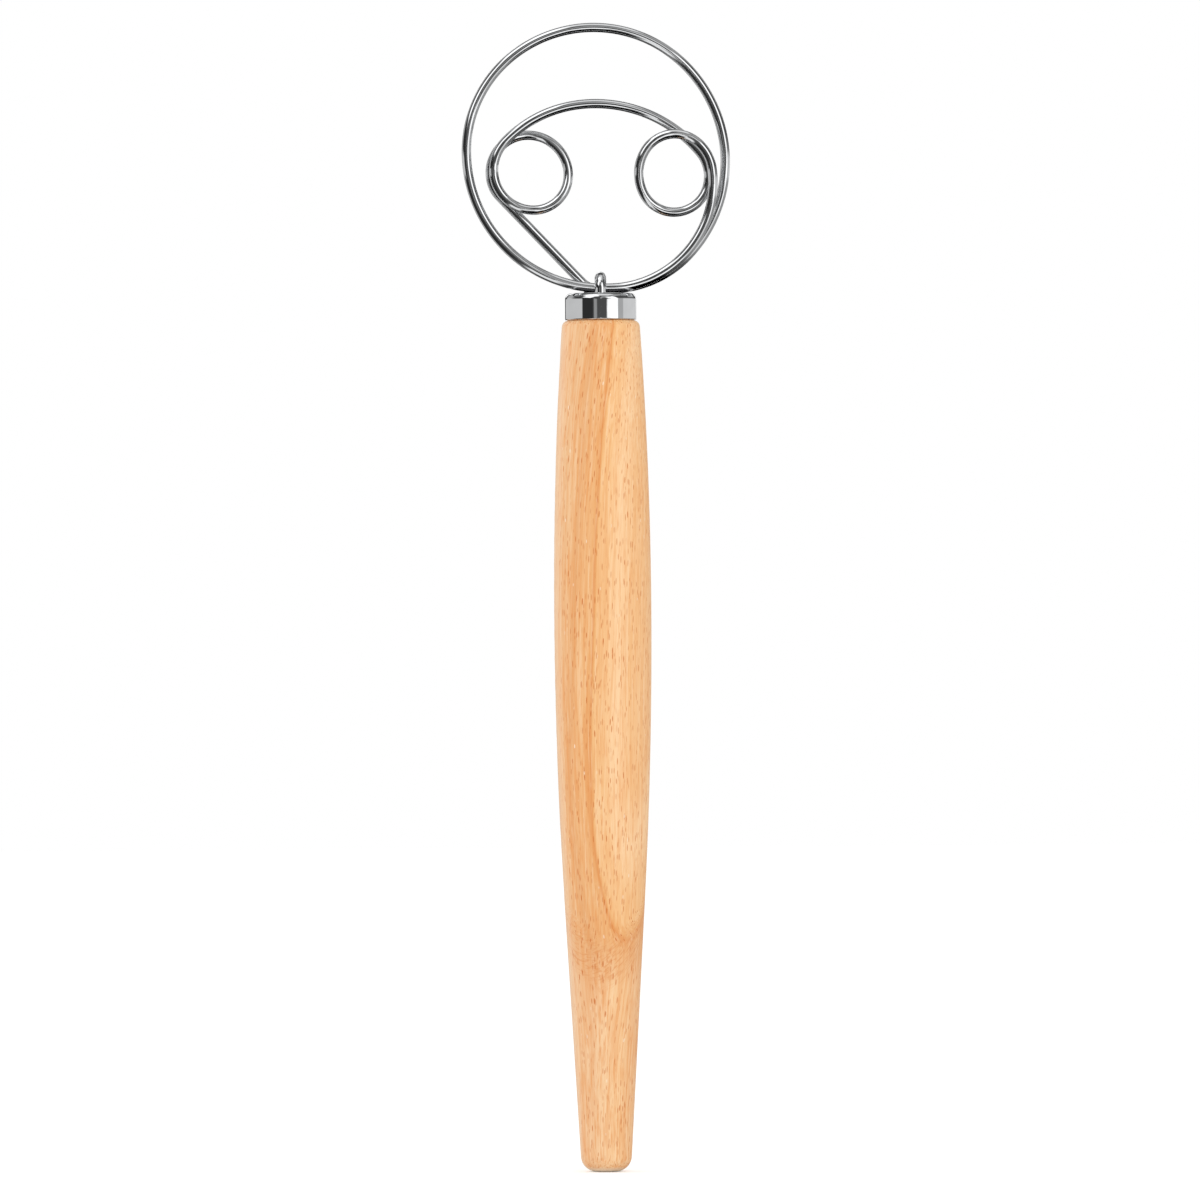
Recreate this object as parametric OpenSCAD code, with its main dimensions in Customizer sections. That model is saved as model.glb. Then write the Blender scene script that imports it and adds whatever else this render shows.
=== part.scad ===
// Dough whisk: a head bent from one wire, stapled to the ferrule of a turned wooden handle.
// Z runs up the handle from the butt to the head. The head lies in the XZ plane.

/* [Handle] */
// Length of the wood from the butt to the shoulder under the ferrule
handle_length = 252; // [240:1:265]
// Largest diameter, at the belly
belly_d = 28.8; // [27:0.1:31]
// Height of the belly above the butt
belly_z = 166; // [155:1:175]
// Radius of the long curve from the belly up to the shoulder
upper_curve_r = 1250; // [1100:10:1600]
// Radius of the long curve from the belly down to the straight taper
lower_curve_r = 1480; // [1350:10:1600]
// Slope of the straight taper against the axis, in degrees
taper_angle = 3.3; // [3:0.1:3.5]
// Radius of the rounding at the shoulder
shoulder_round = 2.1; // [1:0.1:2.6]
// Radius of the rounding at the butt, round a small flat
butt_round = 4.7; // [3:0.1:4.8]

/* [Ferrule] */
// Outer diameter of the drawn metal cup
ferrule_d = 21.1; // [20.2:0.1:22.4]
// Height of the ferrule above the shoulder
ferrule_height = 8; // [7:0.1:12]
// Thickness of the metal
ferrule_wall = 0.6; // [0.5:0.1:0.9]
// Radius of the rounding at its top edge
ferrule_round = 1.8; // [1.2:0.1:2.2]

/* [Staple] */
// Diameter of the staple's rod
staple_d = 3.4; // [3:0.1:3.6]
// Depth of each leg in the wood, below the top of the tenon
staple_depth = 26; // [15:1:40]

/* [Wire] */
// Diameter of the wire
wire_d = 2.8; // [2.4:0.1:3]
// Space between two passes of the wire that lie side by side
pass_gap = 0.1; // [0.05:0.05:0.2]
// Inner end, past the middle of the staple
inner_end = 5; // [3:0.5:7]
// Outer end, past the middle of the staple
outer_end = 5; // [3:0.5:7]
// Bend that lifts the inner run out of the staple
inner_bend_r = 6; // [5:0.5:8]
// Corner of that bend, to the left of the middle of the staple
inner_corner_x = 3.7; // [3.3:0.1:4.2]
// Where the return bend runs out flat, to the right of the middle of the staple
return_end_x = 2.3; // [1.9:0.1:2.8]
// Where the ring starts to rise, to the right of the middle of the staple
ring_start_x = 1; // [0.5:0.1:1.5]
// Where the last bend of the ring runs out flat, to the right of the middle of the staple
ring_end_x = 3.3; // [2.8:0.1:3.8]

/* [Left eye] */
// Distance from the handle's axis to the middle of the first turn
left_eye_x = 21.3; // [21:0.1:21.6]
// Height of that middle above the wires in the staple
left_eye_up = 34.4; // [34.1:0.1:34.7]
// Bend radius where the straight run comes in, lower left
left_run_in_r = 9.2; // [8.8:0.1:9.6]
// Bend radius of the first turn, up to the top
left_first_r = 11.1; // [10.8:0.1:11.3]
// Bend radius of the second turn, upper right
left_top_r = 12; // [11.7:0.1:12.3]
// Bend radius of the second turn, lower right
left_inner_r = 10.3; // [10:0.1:10.6]
// Bend radius of the second turn, lower left
left_low_r = 11.8; // [11.5:0.1:12.1]
// Bend radius of the second turn, upper left
left_exit_r = 12.3; // [12:0.1:12.6]

/* [Right eye] */
// Distance from the handle's axis to the middle of the bend that comes off the bridge
right_eye_x = 21.05; // [20.75:0.05:21.35]
// Height of that middle above the wires in the staple
right_eye_up = 33; // [32.7:0.05:33.3]
// Bend radius of the turn that comes off the bridge
right_entry_r = 11.2; // [10.9:0.1:11.5]
// Bend radius of the next turn, lower right
right_low_r = 10.3; // [10:0.1:10.6]
// Bend radius at the bottom
right_bottom_r = 10.1; // [9.8:0.1:10.4]
// Bend radius on the inner side, to the left
right_inner_r = 12.9; // [12.6:0.1:13.2]
// Bend radius over the top
right_top_r = 10.2; // [9.9:0.1:10.5]
// Bend radius where the wire leaves the eye, to the right
right_exit_r = 12.2; // [11.9:0.1:12.5]

/* [Head] */
// Bend radius of the bridge from eye to eye, on the left
bridge_left_r = 36.5; // [36:0.1:37.5]
// Bend radius of the bridge, on the right
bridge_right_r = 40.1; // [39.5:0.1:41]
// Bend radius of the ring, lower left
ring_left_r = 40.4; // [39.8:0.1:41]
// Bend radius of the ring, upper left
ring_shoulder_r = 36.2; // [35.6:0.1:36.8]
// Bend radius of the ring, top
ring_top_r = 38.5; // [38:0.1:39]

/* [Fits] */
// Play between the ferrule and the tenon
tenon_play = 0.05; // [0.02:0.01:0.2]
// Play of a staple leg in its holes
leg_play = 0.05; // [0.02:0.01:0.1]
// Space between the wires and the metal that holds them
wire_seat = 0.05; // [0.02:0.01:0.1]

/* [Quality] */
// Number of sides of the wire
wire_sides = 14; // [8:2:16]
// Turn between two rings of points on a tight bend, in degrees
eye_step = 12; // [9:1:20]
// Turn between two rings of points on a wide bend, in degrees
ring_step = 6; // [5:1:9]

/* [Hidden] */
$fn = 64;
wood = [0.80, 0.63, 0.43];
steel = [0.78, 0.79, 0.80];

// Heights that the pieces share
ferrule_top = handle_length + ferrule_height;
tenon_top = ferrule_top - ferrule_wall - tenon_play;
wire_z = ferrule_top + wire_seat + wire_d / 2;

// Depth of the three passes under the staple: the front one, the middle one and the back one
pass_pitch = wire_d + pass_gap;
front = -pass_pitch;
middle = 0;
back = pass_pitch;

// The staple hugs the two outer passes
staple_bend_r = wire_d / 2 + wire_seat + staple_d / 2;
leg_y = pass_pitch + staple_bend_r;
leg_hole_d = staple_d + 2 * leg_play;
leg_point = 4;
leg_tip_d = 0.8;
bore_extra = 0.5;
leg_end_z = tenon_top - staple_depth;

function direction(angle) = [cos(angle), sin(angle)];
function heading(v) = atan2(v[1], v[0]);

// Rises from 0 to 1 with no kink at either end
function ease(t) = let (u = min(1, max(0, t))) u * u * (3 - 2 * u);

// Where a circle of radius r1 about p meets one of radius r2 about q, on the right of the line p to q
function meeting_point(p, r1, q, r2) =
    let (span = q - p, along = (r1 * r1 - r2 * r2 + span * span) / (2 * norm(span)))
    let (unit = span / norm(span), across = sqrt(r1 * r1 - along * along))
    p + along * unit + across * [unit[1], -unit[0]];

// Handle outline, from the axis at the butt to the axis at the top of the tenon

// Points of an arc about a centre [radius, height], both ends included
function arc(centre, r, from, to, count) =
    [for (i = [0 : count]) centre + r * direction(from + (to - from) * i / count)];

belly_r = belly_d / 2;
taper_point = [belly_r - lower_curve_r, belly_z] + lower_curve_r * direction(-taper_angle);
// Radius that the straight taper would have at the height of the butt rounding's centre
butt_r = taper_point[0] - (taper_point[1] - butt_round) * tan(taper_angle);
butt_centre = [butt_r - butt_round / cos(taper_angle), butt_round];
shoulder_reach = upper_curve_r - shoulder_round;
shoulder_angle = asin((handle_length - shoulder_round - belly_z) / shoulder_reach);
shoulder_centre = [belly_r - upper_curve_r + shoulder_reach * cos(shoulder_angle),
                   handle_length - shoulder_round];
tenon_r = ferrule_d / 2 - ferrule_wall - tenon_play;
tenon_chamfer = ferrule_round;
handle_outline = concat(
    [[0, 0]],
    arc(butt_centre, butt_round, -90, -taper_angle, 12),
    arc([belly_r - lower_curve_r, belly_z], lower_curve_r, -taper_angle, 0, 12),
    arc([belly_r - upper_curve_r, belly_z], upper_curve_r, shoulder_angle / 12, shoulder_angle, 11),
    arc(shoulder_centre, shoulder_round, shoulder_angle + 6, 90, 8),
    [[tenon_r, handle_length], [tenon_r, tenon_top - tenon_chamfer],
     [tenon_r - tenon_chamfer, tenon_top], [0, tenon_top]]);

// Path of the wire, as points [x, y, z] with z counted from the wires in the staple.
// Every bend turns clockwise as seen from the front, and y is the depth.

// Points of a clockwise bend, its first one left out. The depth goes from y1 to y2
// while the angle goes from turn[0] to turn[1].
function bend(centre, r, from, to, step, y1, y2, turn = [1, 0]) =
    let (count = max(1, ceil((from - to) / step)))
    [for (i = [1 : count])
        let (angle = from + (to - from) * i / count, p = centre + r * direction(angle))
        [p[0], y1 + (y2 - y1) * ease((turn[0] - angle) / (turn[0] - turn[1])), p[1]]];

// Middle of bend number i in a chain: bend i hands over to bend i + 1 at the angle joins[i]
function chain_middle(first, radii, joins, i) = i == 0
    ? first
    : chain_middle(first, radii, joins, i - 1) + (radii[i - 1] - radii[i]) * direction(joins[i - 1]);

// Left eye, hand bent and so a little oval: the bends hand over at the top, right, bottom and left
left_radii = [left_first_r, left_top_r, left_inner_r, left_low_r, left_exit_r];
left_joins = [90, 0, -90, -180];
function left_middle(i) = chain_middle([-left_eye_x, left_eye_up], left_radii, left_joins, i);
left_last = len(left_radii) - 1;

// The straight run leaves the corner by the staple and touches the run-in bend
run_in_end = 200;
run_in = left_middle(0) + (left_first_r - left_run_in_r) * direction(run_in_end);
corner = [-inner_corner_x, 0];
run_angle = heading(run_in - corner) + asin(left_run_in_r / norm(run_in - corner));
run_in_start = run_angle + 90;
run_in_point = run_in + left_run_in_r * direction(run_in_start);
inner_bend = corner + inner_bend_r * [tan((180 - run_angle) / 2), 1];

// Right eye, as oval as the left one
right_radii = [right_entry_r, right_low_r, right_bottom_r, right_inner_r, right_top_r, right_exit_r];
right_joins = [-19, -80, -153, -214, -302];
function right_middle(i) = chain_middle([right_eye_x, right_eye_up], right_radii, right_joins, i);
right_last = len(right_radii) - 1;

// Bridge: two bends that meet near its top, each touching one eye from outside
bridge_join = 99;
bridge_shift = (bridge_left_r - bridge_right_r) * direction(bridge_join);
bridge_left = meeting_point(left_middle(left_last), bridge_left_r - left_exit_r,
                            right_middle(0) - bridge_shift, bridge_right_r - right_entry_r);
bridge_right = bridge_left + bridge_shift;
bridge_start = heading(left_middle(left_last) - bridge_left);
bridge_end = heading(right_middle(0) - bridge_right);

// Return: one bend that touches the last one of the right eye and runs out flat in the staple
exit_offset = right_middle(right_last) - [return_end_x, 0];
return_r = (exit_offset * exit_offset - right_exit_r * right_exit_r) / (2 * (exit_offset[1] - right_exit_r));
return_bend = [return_end_x, return_r];
return_start = heading(right_middle(right_last) - return_bend);

// Ring: five bends. The last two are as wide as it takes to come back to the staple.
ring_angles = [-90, -183, -231, -318, -404, -450];
function ring_chord(i) = direction(ring_angles[i + 1]) - direction(ring_angles[i]);
first_bends = [ring_left_r, ring_shoulder_r, ring_top_r];
ring_gap = [ring_end_x - ring_start_x, 0]
    - first_bends * [for (i = [0 : 2]) ring_chord(i)];
ring_right_r = cross(ring_gap, ring_chord(4)) / cross(ring_chord(3), ring_chord(4));
ring_tail_r = cross(ring_chord(3), ring_gap) / cross(ring_chord(3), ring_chord(4));
ring_bends = concat(first_bends, [ring_right_r, ring_tail_r]);
ring_joins = [for (i = [1 : 4]) ring_angles[i]];

// Where each crossing changes depth, as angles about the bend's centre
left_eye_turn = [90, -90];
bridge_turn = [120, 60];
right_eye_turn = [-40, -220];
ring_turn = [-110, -370];

left_limits = concat(run_in_end, left_joins, bridge_start - 360);
right_limits = concat(bridge_end, right_joins, return_start - 360);
path = concat(
    [[inner_end, middle, 0], [inner_bend[0], middle, 0]],
    bend(inner_bend, inner_bend_r, -90, run_angle - 270, eye_step, middle, middle),
    [[run_in_point[0], middle, run_in_point[1]]],
    bend(run_in, left_run_in_r, run_in_start, run_in_end, eye_step, middle, middle),
    [for (i = [0 : left_last])
        each bend(left_middle(i), left_radii[i], left_limits[i], left_limits[i + 1],
                  eye_step, middle, front, left_eye_turn)],
    bend(bridge_left, bridge_left_r, bridge_start, bridge_join, ring_step, front, middle, bridge_turn),
    bend(bridge_right, bridge_right_r, bridge_join, bridge_end, ring_step, front, middle, bridge_turn),
    [for (i = [0 : right_last])
        each bend(right_middle(i), right_radii[i], right_limits[i], right_limits[i + 1],
                  eye_step, middle, front, right_eye_turn)],
    bend(return_bend, return_r, return_start, -90, ring_step, front, front),
    [for (i = [0 : len(ring_bends) - 1])
        each bend(chain_middle([ring_start_x, ring_left_r], ring_bends, ring_joins, i), ring_bends[i],
                  ring_angles[i], ring_angles[i + 1], ring_step, front, back, ring_turn)],
    [[-outer_end, back, 0]]);

// Sweep of a round section along the path, with a small chamfer at both ends
end_chamfer = 0.4;
count = len(path);
function tangent(i) =
    let (v = path[min(i + 1, count - 1)] - path[max(i - 1, 0)]) v / norm(v);
function section(centre, along, r) =
    let (side = cross(along, [0, 1, 0]), u = side / norm(side), v = cross(u, along))
    [for (k = [0 : wire_sides - 1])
        let (turn = 360 * k / wire_sides) centre + r * (cos(turn) * u + sin(turn) * v)];
wire_r = wire_d / 2;
tip_r = wire_r - end_chamfer;
rings = concat(
    [section(path[0], tangent(0), tip_r)],
    [section(path[0] + end_chamfer * tangent(0), tangent(0), wire_r)],
    [for (i = [1 : count - 2]) section(path[i], tangent(i), wire_r)],
    [section(path[count - 1] - end_chamfer * tangent(count - 1), tangent(count - 1), wire_r)],
    [section(path[count - 1], tangent(count - 1), tip_r)]);

module sweep(rings) {
    sides = len(rings[0]);
    bands = len(rings) - 1;
    walls = [for (i = [0 : bands - 1], k = [0 : sides - 1])
        let (a = i * sides + k, b = i * sides + (k + 1) % sides)
        each [[a, b, b + sides], [a, b + sides, a + sides]]];
    first_cap = [[for (k = [sides - 1 : -1 : 0]) k]];
    last_cap = [[for (k = [0 : sides - 1]) bands * sides + k]];
    polyhedron([for (ring = rings) each ring], concat(walls, first_cap, last_cap));
}

// The continuous wire: inner end, left eye, bridge, right eye, return, ring, outer end
module wire_head() {
    color(steel) translate([0, 0, wire_z]) sweep(rings);
}

// One leg and the bend above it, on the side of +Y
module staple_half() {
    translate([0, leg_y, leg_end_z + leg_point])
        cylinder(h = wire_z - leg_end_z - leg_point, d = staple_d);
    translate([0, leg_y, leg_end_z])
        cylinder(h = leg_point, d1 = leg_tip_d, d2 = staple_d);
    translate([0, pass_pitch, wire_z])
        rotate([90, 0, 90])
            rotate_extrude(angle = 90)
                translate([staple_bend_r, 0])
                    circle(d = staple_d);
}

// The staple that holds the three passes of the wire down on the ferrule
module staple() {
    color(steel) {
        staple_half();
        mirror([0, 1, 0]) staple_half();
        translate([0, pass_pitch, wire_z + staple_bend_r])
            rotate([90, 0, 0])
                cylinder(h = 2 * pass_pitch, d = staple_d);
    }
}

module leg_holes(from, to) {
    for (side = [-1, 1])
        translate([0, side * leg_y, from])
            cylinder(h = to - from, d = leg_hole_d);
}

// The drawn cup over the tenon, with two holes for the legs of the staple
module ferrule() {
    outer_r = ferrule_d / 2;
    inner_r = outer_r - ferrule_wall;
    inner_round = ferrule_round - ferrule_wall;
    rim = handle_length + tenon_play;
    color(steel) difference() {
        rotate_extrude()
            polygon(concat(
                [[inner_r, rim], [outer_r, rim]],
                arc([outer_r - ferrule_round, ferrule_top - ferrule_round], ferrule_round, 0, 90, 8),
                [[0, ferrule_top], [0, ferrule_top - ferrule_wall]],
                arc([inner_r - inner_round, ferrule_top - ferrule_wall - inner_round],
                    inner_round, 90, 0, 6)));
        leg_holes(tenon_top, ferrule_top + 1);
    }
}

// The turned wooden handle, with its tenon and the two bores for the staple
module handle() {
    color(wood) difference() {
        rotate_extrude() polygon(handle_outline);
        leg_holes(leg_end_z - bore_extra, tenon_top + 1);
    }
}

// Least space between passes of the wire that lie more than two wire diameters apart along it
lengths = [for (i = 0, sum = 0; i < count; i = i + 1, sum = sum + (i < count ? norm(path[i] - path[i - 1]) : 0))
    sum];
function to_segment(p, a, b) =
    let (v = b - a, t = min(1, max(0, (p - a) * v / (v * v)))) norm(p - a - t * v);
self_gap = min([for (i = [0 : count - 1], j = [0 : count - 2])
    if (min(abs(lengths[i] - lengths[j]), abs(lengths[i] - lengths[j + 1])) > 4 * wire_d)
        to_segment(path[i], path[j], path[j + 1])]) - wire_d;
echo(str("least space between passes of the wire: ", self_gap, " mm"));
echo(str("wire length: ", lengths[count - 1], " mm, rings: ", len(rings)));

wire_head();
staple();
ferrule();
handle();
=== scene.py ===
"""Dough whisk: the looks. The CAD frame gives the pieces, and this script dresses them."""
import math

import bpy
import numpy as np
from mathutils import Matrix, Vector


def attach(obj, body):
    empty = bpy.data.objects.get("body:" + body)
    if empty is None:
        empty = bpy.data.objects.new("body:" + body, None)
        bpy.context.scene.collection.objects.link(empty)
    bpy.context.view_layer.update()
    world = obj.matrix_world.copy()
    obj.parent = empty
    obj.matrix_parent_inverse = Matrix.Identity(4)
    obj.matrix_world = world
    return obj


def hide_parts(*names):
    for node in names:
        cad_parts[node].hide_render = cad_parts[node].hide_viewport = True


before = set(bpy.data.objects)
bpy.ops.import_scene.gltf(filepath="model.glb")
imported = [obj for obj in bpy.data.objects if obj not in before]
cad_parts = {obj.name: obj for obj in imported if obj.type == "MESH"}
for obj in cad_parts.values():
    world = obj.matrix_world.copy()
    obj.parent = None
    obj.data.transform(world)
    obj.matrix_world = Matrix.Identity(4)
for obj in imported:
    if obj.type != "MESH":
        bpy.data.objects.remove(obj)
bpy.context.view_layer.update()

MM = 0.001
DEGREES = 180 / math.pi
# Edges sharper than this are shaded as edges
SHARP_ANGLE = math.radians(30)

# The object, in millimetres

# Ferrule, a drawn cup over the tenon of the handle
HANDLE_LENGTH = 252.0
FERRULE_D = 21.1
FERRULE_TOP = 260.0
FERRULE_WALL = 0.6
FERRULE_ROUND = 1.8
FERRULE_LIP = 0.35
TENON_PLAY = 0.05
LEG_Y = 6.05
LEG_HOLE_D = 3.5
# Flat rings beside the roundings, which keep the shading of the wall and the top level
FLAT_EDGE = 0.2
# How far the tools that cut the holes reach past the top of the cup
DRILL_PAST = 2.0
CUP_SIDES = 160
HOLE_SIDES = 48
LIP_STEPS, ROUND_STEPS, INNER_ROUND_STEPS = 8, 24, 12

# Wire: x runs from the middle of the staple, and heights are counted from the wires in it
WIRE_D = 2.8
WIRE_Z = 261.45
PASS_PITCH = 2.9
INNER_END = 5.0
OUTER_END = 5.0
INNER_BEND_R = 6.0
INNER_CORNER_X = 3.7
RETURN_END_X = 2.3
RING_START_X = 1.0
RING_END_X = 3.3
LEFT_EYE = (-21.3, 34.4)
RUN_IN_R = 9.2
RUN_IN_END = 200.0
LEFT_RADII = (11.1, 12.0, 10.3, 11.8, 12.3)
LEFT_JOINS = (90.0, 0.0, -90.0, -180.0)
RIGHT_EYE = (21.05, 33.0)
RIGHT_RADII = (11.2, 10.3, 10.1, 12.9, 10.2, 12.2)
RIGHT_JOINS = (-19.0, -80.0, -153.0, -214.0, -302.0)
BRIDGE_LEFT_R = 36.5
BRIDGE_RIGHT_R = 40.1
BRIDGE_JOIN = 99.0
RING_FIRST_RADII = (40.4, 36.2, 38.5)
RING_ANGLES = (-90.0, -183.0, -231.0, -318.0, -404.0, -450.0)
# Depths of the three passes, and the angles between which a bend changes from one to the next
FRONT, MIDDLE, BACK = -PASS_PITCH, 0.0, PASS_PITCH
LEFT_TURN = (90.0, -90.0)
BRIDGE_TURN = (120.0, 60.0)
RIGHT_TURN = (-40.0, -220.0)
RING_TURN = (-110.0, -370.0)
# Mesh of the wire
WIRE_SIDES = 40
WIRE_STEP = 0.55
END_CHAMFER = 0.4


def direction(angle):
    """The direction at an angle in degrees, 0 right and 90 up."""
    return np.array([math.cos(math.radians(angle)), math.sin(math.radians(angle))])


def heading(v):
    return math.degrees(math.atan2(v[1], v[0]))


def cross2(a, b):
    return a[0] * b[1] - a[1] * b[0]


def ease(t):
    t = min(1.0, max(0.0, t))
    return t * t * (3 - 2 * t)


def meeting_point(p, r1, q, r2):
    """Where circles about p and q meet, on the right of the line p to q."""
    distance = np.linalg.norm(q - p)
    ahead = (q - p) / distance
    along = (r1 * r1 - r2 * r2 + distance * distance) / (2 * distance)
    aside = math.sqrt(r1 * r1 - along * along)
    return p + along * ahead + aside * np.array([ahead[1], -ahead[0]])


def bend(centre, r, start, end, y1, y2=None, turn=(1.0, 0.0)):
    """Points of a clockwise bend, its first one left out, with the depth eased from y1 to y2."""
    y2 = y1 if y2 is None else y2
    count = max(2, math.ceil(math.radians(start - end) * r / WIRE_STEP))
    points = []
    for i in range(1, count + 1):
        angle = start + (end - start) * i / count
        x, z = np.array(centre) + r * direction(angle)
        t = (turn[0] - angle) / (turn[0] - turn[1])
        points.append((x, y1 + (y2 - y1) * ease(t), z))
    return points


def chain(first, radii, joins):
    """Middles of bends that touch each other: bend i hands over to bend i + 1 at joins[i]."""
    middles = [np.array(first, float)]
    for join, r, following in zip(joins, radii, radii[1:]):
        middles.append(middles[-1] + (r - following) * direction(join))
    return middles


def chain_bends(middles, radii, limits, y1, y2, turn):
    """Points of a chain of bends, which turn from one limit to the next."""
    points = []
    for middle, r, start, end in zip(middles, radii, limits, limits[1:]):
        points += bend(middle, r, start, end, y1, y2, turn)
    return points


def ring_radii():
    """The last two bends are as wide as it takes to come back to the staple."""
    chords = [direction(b) - direction(a) for a, b in zip(RING_ANGLES, RING_ANGLES[1:])]
    gap = np.array([RING_END_X - RING_START_X, 0.0])
    gap -= sum(r * chord for r, chord in zip(RING_FIRST_RADII, chords))
    right = cross2(gap, chords[4]) / cross2(chords[3], chords[4])
    tail = cross2(chords[3], gap) / cross2(chords[3], chords[4])
    return (*RING_FIRST_RADII, right, tail)


def run_in_bends(eye):
    """From the staple to the left eye: the inner bend, a straight run and the run-in bend."""
    run_in = eye + (LEFT_RADII[0] - RUN_IN_R) * direction(RUN_IN_END)
    corner = np.array([-INNER_CORNER_X, 0.0])
    reach = run_in - corner
    run_angle = heading(reach) + math.degrees(math.asin(RUN_IN_R / np.linalg.norm(reach)))
    run_in_start = run_angle + 90
    touch = run_in + RUN_IN_R * direction(run_in_start)
    lead = math.tan(math.radians((180 - run_angle) / 2))
    inner_bend = corner + INNER_BEND_R * np.array([lead, 1])
    path = [(INNER_END, MIDDLE, 0), (inner_bend[0], MIDDLE, 0)]
    path += bend(inner_bend, INNER_BEND_R, -90, run_angle - 270, MIDDLE)
    path += [(touch[0], MIDDLE, touch[1])]
    return path + bend(run_in, RUN_IN_R, run_in_start, RUN_IN_END, MIDDLE)


def bridge_bends(left_eye, right_eye):
    """The bridge, which touches both eyes from outside, and the angles where it starts and ends."""
    shift = (BRIDGE_LEFT_R - BRIDGE_RIGHT_R) * direction(BRIDGE_JOIN)
    left = meeting_point(left_eye, BRIDGE_LEFT_R - LEFT_RADII[-1],
                         right_eye - shift, BRIDGE_RIGHT_R - RIGHT_RADII[0])
    right = left + shift
    start, end = heading(left_eye - left), heading(right_eye - right)
    path = bend(left, BRIDGE_LEFT_R, start, BRIDGE_JOIN, FRONT, MIDDLE, BRIDGE_TURN)
    path += bend(right, BRIDGE_RIGHT_R, BRIDGE_JOIN, end, FRONT, MIDDLE, BRIDGE_TURN)
    return path, start, end


def return_bend(eye):
    """The bend that touches the right eye and runs out flat in the staple, and where it starts."""
    offset = eye - np.array([RETURN_END_X, 0])
    r = (offset @ offset - RIGHT_RADII[-1] ** 2) / (2 * (offset[1] - RIGHT_RADII[-1]))
    middle = np.array([RETURN_END_X, r])
    start = heading(eye - middle)
    return bend(middle, r, start, -90, FRONT), start


def wire_path():
    """Middle line of the wire: left eye, bridge, right eye, staple, ring and staple again."""
    left = chain(LEFT_EYE, LEFT_RADII, LEFT_JOINS)
    right = chain(RIGHT_EYE, RIGHT_RADII, RIGHT_JOINS)
    bridge, bridge_start, bridge_end = bridge_bends(left[-1], right[0])
    way_back, return_start = return_bend(right[-1])
    radii = ring_radii()
    ring = chain((RING_START_X, radii[0]), radii, RING_ANGLES[1:-1])
    left_limits = (RUN_IN_END, *LEFT_JOINS, bridge_start - 360)
    right_limits = (bridge_end, *RIGHT_JOINS, return_start - 360)
    path = run_in_bends(left[0])
    path += chain_bends(left, LEFT_RADII, left_limits, MIDDLE, FRONT, LEFT_TURN)
    path += bridge
    path += chain_bends(right, RIGHT_RADII, right_limits, MIDDLE, FRONT, RIGHT_TURN)
    path += way_back
    path += chain_bends(ring, radii, RING_ANGLES, FRONT, BACK, RING_TURN)
    path += [(-OUTER_END, BACK, 0)]
    return np.array(path, float) + np.array([0, 0, WIRE_Z])


def unit(v):
    return v / np.linalg.norm(v, axis=-1, keepdims=True)


def link(name, data):
    piece = bpy.data.objects.new(name, data)
    bpy.context.scene.collection.objects.link(piece)
    return piece


def new_piece(name, co, faces):
    mesh = bpy.data.meshes.new(name)
    mesh.from_pydata(co, [], faces)
    mesh.update()
    return link(name, mesh)


def smooth(piece):
    piece.data.shade_smooth()
    piece.data.set_sharp_from_angle(angle=SHARP_ANGLE)


def sweep(name, path, r, sides, chamfer):
    """A round rod along the path, in metres, with a small chamfer at both ends."""
    tangents = unit(np.gradient(path, axis=0))
    tangents[0], tangents[-1] = unit(path[1] - path[0]), unit(path[-1] - path[-2])
    first, last = path[0] + chamfer * tangents[0], path[-1] - chamfer * tangents[-1]
    centres = np.vstack([path[:1], [first], path[1:-1], [last], path[-1:]])
    along = np.vstack([tangents[:1], tangents, tangents[-1:]])
    radii = np.full(len(centres), r)
    radii[[0, -1]] = r - chamfer
    side = unit(np.cross(along, [0.0, 1.0, 0.0]))
    up = np.cross(along, side)
    turn = np.arange(sides) * 2 * math.pi / sides
    ring = np.cos(turn)[None, :, None] * side[:, None] + np.sin(turn)[None, :, None] * up[:, None]
    co = (centres[:, None] + radii[:, None, None] * ring).reshape(-1, 3) * MM
    faces = []
    for i in range(len(centres) - 1):
        for k in range(sides):
            a, b = i * sides + k, i * sides + (k + 1) % sides
            faces.append((a, b, b + sides, a + sides))
    faces.append(tuple(range(sides))[::-1])
    faces.append(tuple((len(centres) - 1) * sides + k for k in range(sides)))
    rod = new_piece(name, co.tolist(), faces)
    smooth(rod)
    return rod


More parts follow.
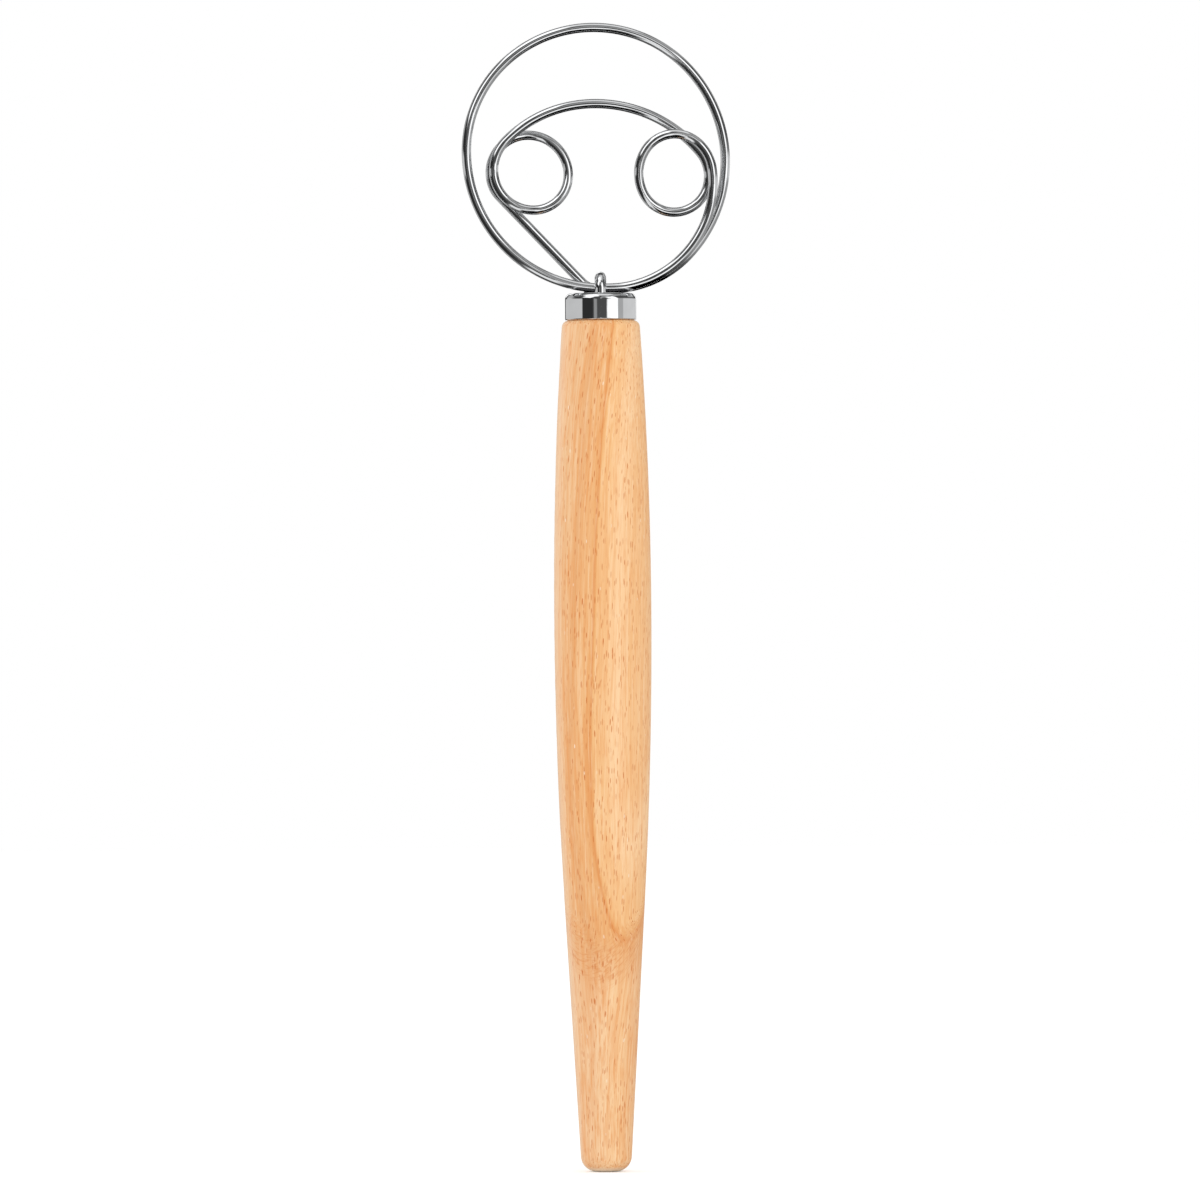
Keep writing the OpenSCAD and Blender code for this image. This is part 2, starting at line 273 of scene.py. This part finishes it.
class Nodes:
    """Short calls that add nodes to a tree. A value may be a number or a socket."""

    def __init__(self, tree):
        self.tree = tree
        self.tree.nodes.clear()

    def add(self, kind, **settings):
        node = self.tree.nodes.new(kind)
        for key, value in settings.items():
            setattr(node, key, value)
        return node

    def put(self, socket, value):
        if isinstance(value, bpy.types.NodeSocket):
            self.tree.links.new(value, socket)
        else:
            socket.default_value = value

    def fill(self, node, *values):
        """Puts the values into the first inputs, and gives the first output."""
        for socket, value in zip(node.inputs, values):
            self.put(socket, value)
        return node.outputs[0]

    def math(self, operation, *values):
        return self.fill(self.add("ShaderNodeMath", operation=operation), *values)

    def scaled(self, vector, factors):
        return self.fill(self.add("ShaderNodeVectorMath", operation="MULTIPLY"), vector, factors)

    def normalized(self, vector):
        return self.fill(self.add("ShaderNodeVectorMath", operation="NORMALIZE"), vector)

    def length(self, vector):
        node = self.add("ShaderNodeVectorMath", operation="LENGTH")
        self.put(node.inputs[0], vector)
        return node.outputs["Value"]

    def join(self, x, y, z):
        return self.fill(self.add("ShaderNodeCombineXYZ"), x, y, z)

    def split(self, vector):
        node = self.add("ShaderNodeSeparateXYZ")
        self.put(node.inputs[0], vector)
        return node.outputs

    def step(self, value, low, high, out_low=0.0, out_high=1.0):
        """Rises smoothly from out_low to out_high as value goes from low to high."""
        node = self.add("ShaderNodeMapRange", interpolation_type="SMOOTHSTEP")
        return self.fill(node, value, low, high, out_low, out_high)

    def linear(self, value, low, high, out_low=0.0, out_high=1.0):
        """Goes evenly from out_low to out_high as value goes from low to high, and stays there."""
        return self.fill(self.add("ShaderNodeMapRange"), value, low, high, out_low, out_high)

    def noise(self, vector, scale, detail, roughness=0.5, distortion=0.0):
        node = self.add("ShaderNodeTexNoise")
        self.put(node.inputs["Vector"], vector)
        for key, value in zip(("Scale", "Detail", "Roughness", "Distortion"),
                              (scale, detail, roughness, distortion)):
            self.put(node.inputs[key], value)
        return node.outputs["Fac"]

    def mix(self, fac, a, b):
        """Colour a where fac is 0, and b where it is 1."""
        node = self.add("ShaderNodeMix", data_type="RGBA")
        for index, value in ((0, fac), (6, a), (7, b)):
            self.put(node.inputs[index], value)
        return node.outputs[2]

    def mix_value(self, fac, a, b):
        node = self.add("ShaderNodeMix", data_type="FLOAT")
        for index, value in ((0, fac), (2, a), (3, b)):
            self.put(node.inputs[index], value)
        return node.outputs[0]

    def ramp(self, value, stops):
        """Colour from a list of (value, colour), with the values in rising order."""
        low, high = stops[0][0], stops[-1][0]
        node = self.add("ShaderNodeValToRGB")
        self.put(node.inputs[0], self.linear(value, low, high))
        band = node.color_ramp.elements
        for i, (value, colour) in enumerate(stops):
            place = (value - low) / (high - low)
            stop = band[i] if i < 2 else band.new(place)
            stop.position, stop.color = place, colour
        return node.outputs[0]

    def cells(self, vector):
        """Distance to the nearest of scattered points, and a random value for each."""
        node = self.add("ShaderNodeTexVoronoi", feature="F1")
        self.put(node.inputs["Vector"], vector)
        self.put(node.inputs["Scale"], 1.0)
        return node.outputs["Distance"], self.split(node.outputs["Color"])[0]

    def bump(self, height, distance):
        """Surface direction for a height of 1 that stands for a distance in metres."""
        node = self.add("ShaderNodeBump")
        self.put(node.inputs["Strength"], 1.0)
        self.put(node.inputs["Height"], height)
        self.put(node.inputs["Distance"], distance)
        return node.outputs[0]


def srgb(r, g, b):
    """A colour given as it looks on screen, 0 to 255, as linear values."""
    def linear(v):
        v /= 255
        return v / 12.92 if v <= 0.04045 else ((v + 0.055) / 1.055) ** 2.4
    return (linear(r), linear(g), linear(b), 1.0)


def new_material(name):
    material = bpy.data.materials.new(name)
    material.use_nodes = True
    n = Nodes(material.node_tree)
    out = n.add("ShaderNodeOutputMaterial")
    shader = n.add("ShaderNodeBsdfPrincipled")
    n.put(out.inputs["Surface"], shader.outputs[0])
    return material, n, shader


def object_mm(n):
    """Coordinates of the piece in millimetres."""
    return n.scaled(n.add("ShaderNodeTexCoord").outputs["Object"], (1 / MM, 1 / MM, 1 / MM))


# Near black for the top of the cup: painted shade under the wires
SHADED_TOP_STEEL = (0.09, 0.09, 0.095, 1.0)
DULL_ROUGHNESS = 0.4
WIRE_TINT = (0.80, 0.81, 0.82)
FERRULE_TINT = (0.82, 0.83, 0.84)
# Roughness, and depth of the ripples in metres
WIRE_POLISH, FERRULE_POLISH, STAPLE_POLISH = (0.07, 0.00002), (0.04, 0.00001), (0.06, 0.00002)
# Darker tint in the clouds, and roughness where the polish is best and worst
CLOUD_SHADE = 0.93
BEST_POLISH, WORST_POLISH = 0.75, 1.3
# Scales of the noises, for each millimetre, and the noise between which they act
CLOUD_SCALE, POLISH_SCALE, RIPPLE_SCALE = 0.15, 0.35, 0.22
NOISE_BAND = (0.3, 0.7)
# The top of the cup is painted dark, as the shade under the wires, and goes rough within this
# height
SHADED_TOP_FROM, SHADED_TOP_OVER = FERRULE_TOP - 0.04, 0.03


def polished_steel(name, tint, roughness, ripple, shaded_above=None):
    """Bright metal with an uneven polish and faint ripples, ripple metres deep.

    Faces higher than the last argument, in mm, are painted dark as shade and left rough.
    """
    material, n, shader = new_material(name)
    place = object_mm(n)
    cloud = n.noise(place, CLOUD_SCALE, 2.0)
    shaded = tuple(CLOUD_SHADE * v for v in tint)
    colour = n.mix(n.step(cloud, *NOISE_BAND), (*shaded, 1.0), (*tint, 1.0))
    polish = n.noise(place, POLISH_SCALE, 1.0)
    dullness = n.linear(polish, *NOISE_BAND, roughness * BEST_POLISH, roughness * WORST_POLISH)
    if shaded_above is not None:
        # Painted shade: the top of the cup is dark and rough
        top = n.step(n.split(place)[2], shaded_above, shaded_above + SHADED_TOP_OVER)
        colour = n.mix(top, colour, SHADED_TOP_STEEL)
        dullness = n.mix_value(top, dullness, DULL_ROUGHNESS)
    n.put(shader.inputs["Base Color"], colour)
    n.put(shader.inputs["Roughness"], dullness)
    n.put(shader.inputs["Normal"], n.bump(n.noise(place, RIPPLE_SCALE, 1.0, 0.4), ripple))
    n.put(shader.inputs["Metallic"], 1.0)
    return material


# Growth line of the wood, in millimetres: where it stands at the front of the handle, how far it
# leans to the right above LEAN_FROM, and the ellipse that closes it below, wider on its far side
LINE_X = -3.4
LEAN = 7.6
LEAN_FROM, LEAN_TO = 110.0, 250.0
LEAN_POWER = 2.4
CROWN_MIDDLE = (9.1, 116.0)
CROWN_HALF_WIDTH = CROWN_MIDDLE[0] - LINE_X
CROWN_HEIGHT = 50.0
CROWN_FAR_WIDTH = 26.0
# From front to back the layers turn aside and slope up, for each millimetre behind a depth
TURN_FRONT, LAYER_TURN = 13.0, 0.12
SLOPE_FRONT, LAYER_SLOPE = 12.0, 1.2
# The layers and the pores wander from side to side
WANDER_SCALE = (0.07, 0.07, 0.016)
LAYER_WANDER, PORE_WANDER = 2.0, 3.0

# Heights along the sloping layers, in millimetres, between which the fibres fan out upwards and
# run straight again, the lower wood gives way to the crown, and the wavy figure comes and goes
FAN_OPENS, FAN_CLOSES = (26.0, 62.0), (62.0, 72.0)
FAN_WIDTH = 1.6
FAN_MIDDLE = -2.0
LOWER_WOOD = (67.0, 58.0)
FIGURE_COMES, FIGURE_GOES = (50.0, 59.0), (71.0, 64.0)

# Streaks: width and length in millimetres, and detail
BROAD_GRAIN = (1.5, 90.0, 2.0)
FINE_GRAIN = (0.5, 26.0, 2.0)
SHORT_GRAIN = (0.4, 7.0, 1.0)
GRAIN_ROUGHNESS = 0.6
# How strongly the streaks show: the noise where they begin and where they are full, and the
# strength at both. The lighter wood has its share of the broad and fine dark ones.
BROAD_DARK, BROAD_LIGHT = (0.45, 0.72, 0.0, 0.44), (0.45, 0.28, 0.0, 0.35)
FINE_DARK, FINE_LIGHT = (0.5, 0.66, 0.0, 0.52), (0.48, 0.3, 0.0, 0.35)
SHORT_DARK = (0.55, 0.7, 0.0, 0.35)
CALM_EDGE, CALM_SHARE = (-0.5, 0.5), 0.55
# Ripples of the wavy figure. They run up to the right, because their noise changes slowly with
# across + SLOW * height and fast with FAST_UP * height - FAST_ACROSS * across.
RIPPLE_SLOW, RIPPLE_FAST_UP, RIPPLE_FAST_ACROSS = 0.6, 4.8, 3.2
RIPPLE_NOISE = (0.38, 2.0, 0.5, 0.4)
RIPPLE_DARK = (0.47, 0.64, 0.0, 0.65)
FIGURE_SHARE = 0.45
# Pores: pitch across and along the fibres in millimetres, and size as a share of the pitch.
# Each shows as strongly as its random value says.
OPEN_PORES, OPEN_SHOWN = (0.52, 4.4, 0.28), (0.0, 1.0, 0.15, 1.0)
FILLED_PORES, FILLED_SHOWN = (1.5, 6.0, 0.12), (0.4, 1.0, 0.0, 0.8)
FILLED_SHIFT = 7.3
PORE_CORE = 0.7
# Painted sheen on the left side, by the direction, 1 on the left, and a paler butt by the height
# above it: pale end grain, and painted light that lifts the shade by the floor
LEFT_SHEEN_SIDE, BUTT_PALE_AND_LIT_RISE = (0.8, 1.0, 0.0, 0.5), (1.8, 0.3, 0.0, 0.9)
# Finish: the roughness follows the fine streaks, and the relief is in metres
FINE_BAND, WOOD_ROUGHNESS = (0.2, 0.8), (0.46, 0.58)
WOOD_SPECULAR = 0.3
WOOD_RELIEF = 0.00003
PORE_DEPTH, FIBRE_HEIGHT = -0.25, 0.25

# Tones across the growth line, by distance from it, and tones across the handle below the crown
LAYER_TONES = (
    (-14, srgb(243, 196, 150)), (-9.5, srgb(238, 190, 140)), (-7.2, srgb(238, 183, 128)),
    (-5.9, srgb(232, 171, 114)), (-4.4, srgb(240, 184, 127)), (-2.6, srgb(241, 185, 127)),
    (-1.0, srgb(239, 178, 116)), (-0.4, srgb(228, 150, 84)), (0.1, srgb(242, 186, 124)),
    (0.7, srgb(247, 196, 138)), (3, srgb(247, 196, 139)), (6.5, srgb(252, 208, 158)),
    (9, srgb(250, 203, 151)), (11.2, srgb(246, 193, 136)), (12.5, srgb(247, 195, 139)),
)
LOWER_TONES = (
    (-9, srgb(239, 195, 152)), (-6, srgb(240, 188, 138)), (-3.5, srgb(242, 193, 145)),
    (-0.5, srgb(250, 209, 162)), (2.5, srgb(249, 206, 156)), (5.5, srgb(248, 201, 148)),
    (9, srgb(244, 196, 146)),
)
STREAK_DARK = srgb(233, 155, 88)
STREAK_LIGHT = srgb(255, 222, 180)
PORE = srgb(208, 112, 42)
FILLED_PORE = srgb(255, 240, 218)
FIGURE_BAND = srgb(234, 172, 115)
FIGURE_DARK = srgb(226, 150, 88)
# Pale end grain at the butt, made paler as painted light over the floor's shade
BUTT_PALE_AND_LIT = srgb(255, 236, 210)
# Painted sheen on the left side
LEFT_SHEEN = srgb(252, 222, 190)


def layer_place(n, place):
    """Place across the layers, height along their slope, and how far they wander."""
    x, y, z = n.split(place)
    wander = n.math("SUBTRACT", n.noise(n.scaled(place, WANDER_SCALE), 1.0, 3.0), 0.5)
    lean = n.math("MULTIPLY", n.math("POWER", n.linear(z, LEAN_FROM, LEAN_TO), LEAN_POWER), LEAN)
    across = n.math("ADD", x, n.math("MULTIPLY", n.math("ADD", y, TURN_FRONT), LAYER_TURN))
    across = n.math("ADD", across, n.math("MULTIPLY", wander, LAYER_WANDER))
    across = n.math("SUBTRACT", across, lean)
    sloped = n.math("SUBTRACT", z, n.math("MULTIPLY", n.math("ADD", y, SLOPE_FRONT), LAYER_SLOPE))
    return across, sloped, wander


def growth_layers(n, across, sloped):
    """Distance from the growth line, more than 0 in the lighter wood inside it."""
    off = n.math("SUBTRACT", across, CROWN_MIDDLE[0])
    near = n.math("DIVIDE", n.math("MINIMUM", off, 0.0), CROWN_HALF_WIDTH)
    far = n.math("DIVIDE", n.math("MAXIMUM", off, 0.0), CROWN_FAR_WIDTH)
    below = n.math("MAXIMUM", n.math("SUBTRACT", CROWN_MIDDLE[1], sloped), 0.0)
    below = n.math("DIVIDE", below, CROWN_HEIGHT)
    reach = n.length(n.join(n.math("ADD", near, far), below, 0.0))
    return n.math("MULTIPLY", n.math("SUBTRACT", 1.0, reach), CROWN_HALF_WIDTH)


def fan_out(n, across, sloped):
    """Place across the fibres, which fan out upwards below the crown."""
    spread = n.step(sloped, *FAN_OPENS, 1.0, FAN_WIDTH)
    spread = n.mix_value(n.step(sloped, *FAN_CLOSES), spread, 1.0)
    return n.math("DIVIDE", n.math("SUBTRACT", across, FAN_MIDDLE), spread)


def along_fibres(n, across, y, z, width, length):
    """Coordinates in which a cell is as wide and as long as given."""
    return n.join(*(n.math("DIVIDE", place, size)
                    for place, size in ((across, width), (y, width), (z, length))))


def grain(n, across, y, z, width, length, detail):
    """Streaks along the fibres, from 0 to 1."""
    return n.noise(along_fibres(n, across, y, z, width, length), 1.0, detail, GRAIN_ROUGHNESS)


def pores(n, across, y, z, pitch, length, size):
    """Vessels cut open: short dashes along the fibres, from 0 to 1, and a random value for each."""
    distance, chance = n.cells(along_fibres(n, across, y, z, pitch, length))
    return n.step(distance, size, size * PORE_CORE), chance


def streaky(n, colour, layer, broad, fine, short):
    """Dark and light streaks. The broad and fine dark ones are fainter in the lighter wood."""
    calm = n.mix_value(n.step(layer, *CALM_EDGE), 1.0, CALM_SHARE)
    for streak, dark, light in ((broad, BROAD_DARK, BROAD_LIGHT), (fine, FINE_DARK, FINE_LIGHT)):
        colour = n.mix(n.math("MULTIPLY", calm, n.step(streak, *dark)), colour, STREAK_DARK)
        colour = n.mix(n.step(streak, *light), colour, STREAK_LIGHT)
    return n.mix(n.step(short, *SHORT_DARK), colour, STREAK_DARK)


def wavy_figure(n, colour, across, y, sloped):
    """A duller band with fine slanted ripples across the fibres."""
    band = n.math("MULTIPLY", n.step(sloped, *FIGURE_COMES), n.step(sloped, *FIGURE_GOES))
    slow = n.math("ADD", across, n.math("MULTIPLY", sloped, RIPPLE_SLOW))
    fast = n.math("SUBTRACT", n.math("MULTIPLY", sloped, RIPPLE_FAST_UP),
                  n.math("MULTIPLY", across, RIPPLE_FAST_ACROSS))
    ripple = n.step(n.noise(n.join(slow, y, fast), *RIPPLE_NOISE), *RIPPLE_DARK)
    colour = n.mix(n.math("MULTIPLY", band, FIGURE_SHARE), colour, FIGURE_BAND)
    return n.mix(n.math("MULTIPLY", band, ripple), colour, FIGURE_DARK)


def porous(n, colour, across, y, z):
    """The colour with open pores and a few that the finish has filled, and the open ones alone."""
    dark, chance = pores(n, across, y, z, *OPEN_PORES)
    colour = n.mix(n.math("MULTIPLY", dark, n.linear(chance, *OPEN_SHOWN)), colour, PORE)
    light, chance = pores(n, n.math("ADD", across, FILLED_SHIFT), y, z, *FILLED_PORES)
    colour = n.mix(n.math("MULTIPLY", light, n.linear(chance, *FILLED_SHOWN)), colour, FILLED_PORE)
    return colour, dark


def paler_parts(n, colour, x, y, z):
    """A painted sheen in a strip on the left side, and a butt paler round its edge: pale end grain,
    and painted light that lifts the shade by the floor.
    """
    side = n.math("DIVIDE", n.math("MULTIPLY", x, -1.0), n.length(n.join(x, y, 0.0)))
    # Painted sheen, paler towards the left side
    colour = n.mix(n.step(side, *LEFT_SHEEN_SIDE), colour, LEFT_SHEEN)
    # Paler butt edge: pale end grain, and painted light over the floor's shade
    return n.mix(n.step(z, *BUTT_PALE_AND_LIT_RISE), colour, BUTT_PALE_AND_LIT)


def pale_wood(name):
    """Light hardwood: two tones along a growth line, a crown, a wavy figure, and open pores."""
    material, n, shader = new_material(name)
    place = object_mm(n)
    x, y, z = n.split(place)
    across, sloped, wander = layer_place(n, place)
    layer = growth_layers(n, across, sloped)
    fibre = fan_out(n, across, sloped)
    broad, fine, short = (grain(n, fibre, y, z, *size)
                          for size in (BROAD_GRAIN, FINE_GRAIN, SHORT_GRAIN))

    upper, lower = n.ramp(layer, LAYER_TONES), n.ramp(across, LOWER_TONES)
    colour = n.mix(n.step(sloped, *LOWER_WOOD), upper, lower)
    colour = streaky(n, colour, layer, broad, fine, short)
    colour = wavy_figure(n, colour, across, y, sloped)
    leaning = n.math("ADD", n.math("MULTIPLY", wander, PORE_WANDER), fibre)
    colour, open_pores = porous(n, colour, leaning, y, z)
    colour = paler_parts(n, colour, x, y, z)
    n.put(shader.inputs["Base Color"], colour)
    n.put(shader.inputs["Roughness"], n.linear(fine, *FINE_BAND, *WOOD_ROUGHNESS))
    n.put(shader.inputs["Specular IOR Level"], WOOD_SPECULAR)
    height = n.math("ADD", n.math("MULTIPLY", open_pores, PORE_DEPTH),
                    n.math("MULTIPLY", fine, FIBRE_HEIGHT))
    n.put(shader.inputs["Normal"], n.bump(height, WOOD_RELIEF))
    return material


def revolve(name, outline, sides):
    """A solid turned about the handle's axis from a closed outline of (radius, height) in mm.

    A point on the axis makes no ring: there the disc inside its neighbour is one face.
    """
    co, rows, faces = [], [], []
    turn = np.arange(sides) * 2 * math.pi / sides
    for r, z in outline:
        rows.append(list(range(len(co), len(co) + sides)) if r else [])
        if r:
            co += [(r * math.cos(t) * MM, r * math.sin(t) * MM, z * MM) for t in turn]
    for low, high in zip(rows, rows[1:] + rows[:1]):
        if low and high:
            faces += [(low[k - 1], low[k], high[k], high[k - 1]) for k in range(sides)]
        elif low or high:
            faces.append(low or high[::-1])
    return new_piece(name, co, faces)


def round_corner(r, z, radius, start, end, steps):
    """Points of a rounding about the middle (r, z)."""
    return [tuple(np.array([r, z]) + radius * direction(start + (end - start) * i / steps))
            for i in range(steps + 1)]


def cut(piece, tools):
    """Takes the tools out of the piece, and removes them."""
    for tool in tools:
        hole = piece.modifiers.new("hole", "BOOLEAN")
        hole.operation = "DIFFERENCE"
        hole.solver = "EXACT"
        hole.object = tool
    bpy.context.view_layer.update()
    cut_piece = piece.evaluated_get(bpy.context.evaluated_depsgraph_get())
    shape = bpy.data.meshes.new_from_object(cut_piece)
    piece.modifiers.clear()
    piece.data = shape
    for tool in tools:
        bpy.data.objects.remove(tool)


def leg_drill(y):
    """A round tool that cuts the hole for one leg of the staple."""
    low, high = FERRULE_TOP - FERRULE_WALL - DRILL_PAST, FERRULE_TOP + DRILL_PAST
    half = LEG_HOLE_D / 2
    drill = revolve("drill", [(0, low), (half, low), (half, high), (0, high)], HOLE_SIDES)
    drill.location = (0, y * MM, 0)
    return drill


def ferrule_cup():
    """The drawn cup, with a rounded top edge, a small lip and two holes for the staple's legs."""
    outer, rim = FERRULE_D / 2, HANDLE_LENGTH + TENON_PLAY
    inner, under = outer - FERRULE_WALL, FERRULE_TOP - FERRULE_WALL
    edge_r, edge_z = outer - FERRULE_ROUND, FERRULE_TOP - FERRULE_ROUND
    lip_z = rim + FERRULE_LIP
    inner_round = FERRULE_ROUND - FERRULE_WALL
    outline = [(inner, rim)]
    outline += round_corner(outer - FERRULE_LIP, lip_z, FERRULE_LIP, -90, 0, LIP_STEPS)
    outline += [(outer, lip_z + FLAT_EDGE), (outer, edge_z - FLAT_EDGE)]
    outline += round_corner(edge_r, edge_z, FERRULE_ROUND, 0, 90, ROUND_STEPS)
    outline += [(edge_r - FLAT_EDGE, FERRULE_TOP), (0, FERRULE_TOP), (0, under)]
    outline += round_corner(inner - inner_round, under - inner_round, inner_round, 90, 0,
                            INNER_ROUND_STEPS)
    cup = revolve("ferrule_cup", outline, CUP_SIDES)
    cut(cup, [leg_drill(-LEG_Y), leg_drill(LEG_Y)])
    smooth(cup)
    return cup


def stand_for(piece, node, material):
    """The piece takes the place of a CAD node."""
    piece.data.materials.append(material)
    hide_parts(node)
    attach(piece, "root")


def dress(name, material):
    """Gives a CAD node a material in all its slots."""
    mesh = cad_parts[name].data
    if not mesh.materials:
        mesh.materials.append(material)
    for i in range(len(mesh.materials)):
        mesh.materials[i] = material


wire = sweep("whisk_wire", wire_path(), WIRE_D / 2, WIRE_SIDES, END_CHAMFER)
stand_for(wire, "wire_head", polished_steel("bright_wire", WIRE_TINT, *WIRE_POLISH))
stand_for(ferrule_cup(), "ferrule",
          polished_steel("chromed_ferrule", FERRULE_TINT, *FERRULE_POLISH, SHADED_TOP_FROM))
dress("staple", polished_steel("bright_staple", WIRE_TINT, *STAPLE_POLISH))
dress("handle", pale_wood("pale_wood"))


# The studio as polished metal shows it. Each zone has the angles from the front direction where
# it starts and ends, the directions round the front where it starts and ends (0 right, 90 up),
# its brightness, and how soft its edges are, in degrees.
SOFT_LIGHT = 0.90
BASE_LIGHT = 0.08
ZONES = (
    # walls behind the object, pale on the left and grey on the right
    (104, 200, 158, 232, 0.60, 24),
    (62, 200, -42, 8, 0.34, 16),
    # round softbox on the upper left, and the ceiling beside it
    (58, 106, 66, 98, 0.85, 10),
    (60, 106, 48, 66, 0.40, 10),
    (44, 88, 96, 128, 1.55, 8),
    (84, 104, 94, 116, 0.90, 10),
    (36, 66, 124, 156, 1.45, 8),
    # pale walls on both sides of the object, seen in the shoulders of the ferrule
    (108, 150, 118, 160, 0.45, 12),
    (108, 150, 20, 62, 0.45, 12),
    # dim ceiling over the camera
    (4, 18, 68, 96, 0.50, 4),
    (18, 46, 62, 86, 0.35, 8),
    # softbox on the right
    (34, 60, -22, 10, 1.20, 5),
    (25, 56, 8, 50, 1.40, 5),
    (26, 48, 50, 66, 0.80, 8),
    # pale wall on the lower right
    (28, 62, -42, -20, 0.75, 8),
    (20, 46, -66, -40, 1.20, 6),
    # table edge in front
    (-9, 21, -114, -84, 1.15, 4),
    (-9, 33, -86, -66, 1.30, 5),
    (14, 40, -68, -52, 1.20, 6),
    # strip on the lower left
    (18, 38, -114, -100, 0.70, 6),
    (26, 74, -127, -109, 0.95, 6),
    # black room on the left and black floor below
    (24, 90, 160, 228, 0.03, 10),
    (42, 150, -106, -56, 0.0, 8),
    # narrow cards level with the object, which only upright surfaces show
    (62, 200, 175, 185, 0.62, 3),
    (12, 22, 170, 190, 0.32, 4),
    (20, 58, -5, 5, 1.35, 3),
    (58, 78, -5, 5, 0.46, 2),
    (78, 200, -5, 5, 0.70, 3),
)
# Behind the object the same studio is seen again, drawn together
REAR_START = 140.0
REAR_SHARE = 2.6


def zone_share(n, off_front, round_front, zone):
    """How far a direction lies inside a zone, from 0 to 1."""
    start, end, first, last, _, soft = zone
    inside = n.step(off_front, start - soft / 2, start + soft / 2)
    inside = n.math("MULTIPLY", inside, n.step(off_front, end + soft / 2, end - soft / 2))
    turned = n.math("WRAP", n.math("SUBTRACT", round_front, (first + last) / 2), 180.0, -180.0)
    half = (last - first) / 2
    beside = n.step(n.math("ABSOLUTE", turned), half + soft / 2, half - soft / 2)
    return n.math("MULTIPLY", inside, beside)


def polar_direction(n):
    """Angle from the front and direction round it, in degrees, with the rear folded in."""
    x, y, z = n.split(n.normalized(n.add("ShaderNodeTexCoord").outputs["Generated"]))
    off_front = n.math("MULTIPLY", n.math("ARCCOSINE", n.math("MULTIPLY", y, -1.0)), DEGREES)
    rear = n.math("MULTIPLY", n.math("SUBTRACT", 180.0, off_front), REAR_SHARE)
    off_front = n.mix_value(n.math("GREATER_THAN", off_front, REAR_START), off_front, rear)
    return off_front, n.math("MULTIPLY", n.math("ARCTAN2", z, x), DEGREES)


def studio_world():
    """Plain white to the camera, soft light on the object, and the zones in what is polished."""
    world = bpy.data.worlds.new("studio")
    bpy.context.scene.world = world
    world.use_nodes = True
    world.cycles.sampling_method = "NONE"
    n = Nodes(world.node_tree)
    ray = n.add("ShaderNodeLightPath").outputs
    off_front, round_front = polar_direction(n)
    shown = BASE_LIGHT
    for zone in ZONES:
        shown = n.mix_value(zone_share(n, off_front, round_front, zone), shown, zone[4])
    plain = n.mix_value(ray["Is Camera Ray"], SOFT_LIGHT, 1.0)
    plain = n.mix_value(ray["Is Transmission Ray"], plain, 1.0)
    background = n.add("ShaderNodeBackground")
    n.put(background.inputs["Color"], (1.0, 1.0, 1.0, 1.0))
    n.put(background.inputs["Strength"], n.mix_value(ray["Is Glossy Ray"], plain, shown))
    out = n.add("ShaderNodeOutputWorld")
    n.put(out.inputs["Surface"], background.outputs[0])


FLOOR_HALF = 4.0
FLOOR_COLOUR = (0.9, 0.9, 0.9, 1.0)
FLOOR_GLOW = 0.25


def white_floor():
    """A floor as white as the background to the camera, which keeps the object's shadow."""
    half = FLOOR_HALF
    corners = [(-half, -half, 0), (half, -half, 0), (half, half, 0), (-half, half, 0)]
    floor = new_piece("floor", corners, [(0, 1, 2, 3)])
    floor.visible_glossy = False
    material = bpy.data.materials.new("white_floor")
    material.use_nodes = True
    n = Nodes(material.node_tree)
    ray = n.add("ShaderNodeLightPath").outputs
    diffuse = n.add("ShaderNodeBsdfDiffuse")
    n.put(diffuse.inputs["Color"], FLOOR_COLOUR)
    glow = n.add("ShaderNodeEmission")
    n.put(glow.inputs["Strength"], n.math("MULTIPLY", ray["Is Camera Ray"], FLOOR_GLOW))
    both = n.fill(n.add("ShaderNodeAddShader"), diffuse.outputs[0], glow.outputs[0])
    out = n.add("ShaderNodeOutputMaterial")
    n.put(out.inputs["Surface"], both)
    floor.data.materials.append(material)


# The lamps point at the middle of the object. Place and size in metres, power in watts
LIGHT_TARGET = Vector((0, 0, 0.17))
KEY_LIGHT = ("key_light", (0.3, -2.0, 0.9), 1.2, 7.5)
RIM_LIGHT = ("rim_light", (-1.6, 0.5, 0.3), 1.0, 5.0)


def softbox(name, place, size, power):
    """A round lamp. Polished metal doesn't show it, but the zones of the studio instead."""
    lamp = bpy.data.lights.new(name, "AREA")
    lamp.shape = "DISK"
    lamp.size = size
    lamp.energy = power
    box = link(name, lamp)
    box.location = place
    box.rotation_euler = (LIGHT_TARGET - Vector(place)).to_track_quat("-Z", "Y").to_euler()
    box.visible_glossy = False


# Camera: its roll in degrees, and the rest in millimetres, the frame's width at the object
CAMERA_PLACE = (-0.79, -3070.0, 169.2)
CAMERA_ROLL = -0.39
SENSOR = 36.0
FRAME_WIDTH = 355.3
CLIP_END = 50000.0


def long_lens_camera():
    """The camera looks along y from far in front, level with the middle of the object."""
    data = bpy.data.cameras.new("camera")
    data.sensor_width = SENSOR
    data.lens = SENSOR * -CAMERA_PLACE[1] / FRAME_WIDTH
    data.clip_end = CLIP_END * MM
    camera = link("camera", data)
    level = Matrix.Rotation(math.radians(90), 4, "X")
    roll = Matrix.Rotation(math.radians(CAMERA_ROLL), 4, "Z")
    camera.matrix_world = Matrix.Translation(Vector(CAMERA_PLACE) * MM) @ level @ roll
    bpy.context.scene.camera = camera


studio_world()
white_floor()
softbox(*KEY_LIGHT)
softbox(*RIM_LIGHT)
long_lens_camera()
bpy.context.scene.view_settings.view_transform = "Standard"
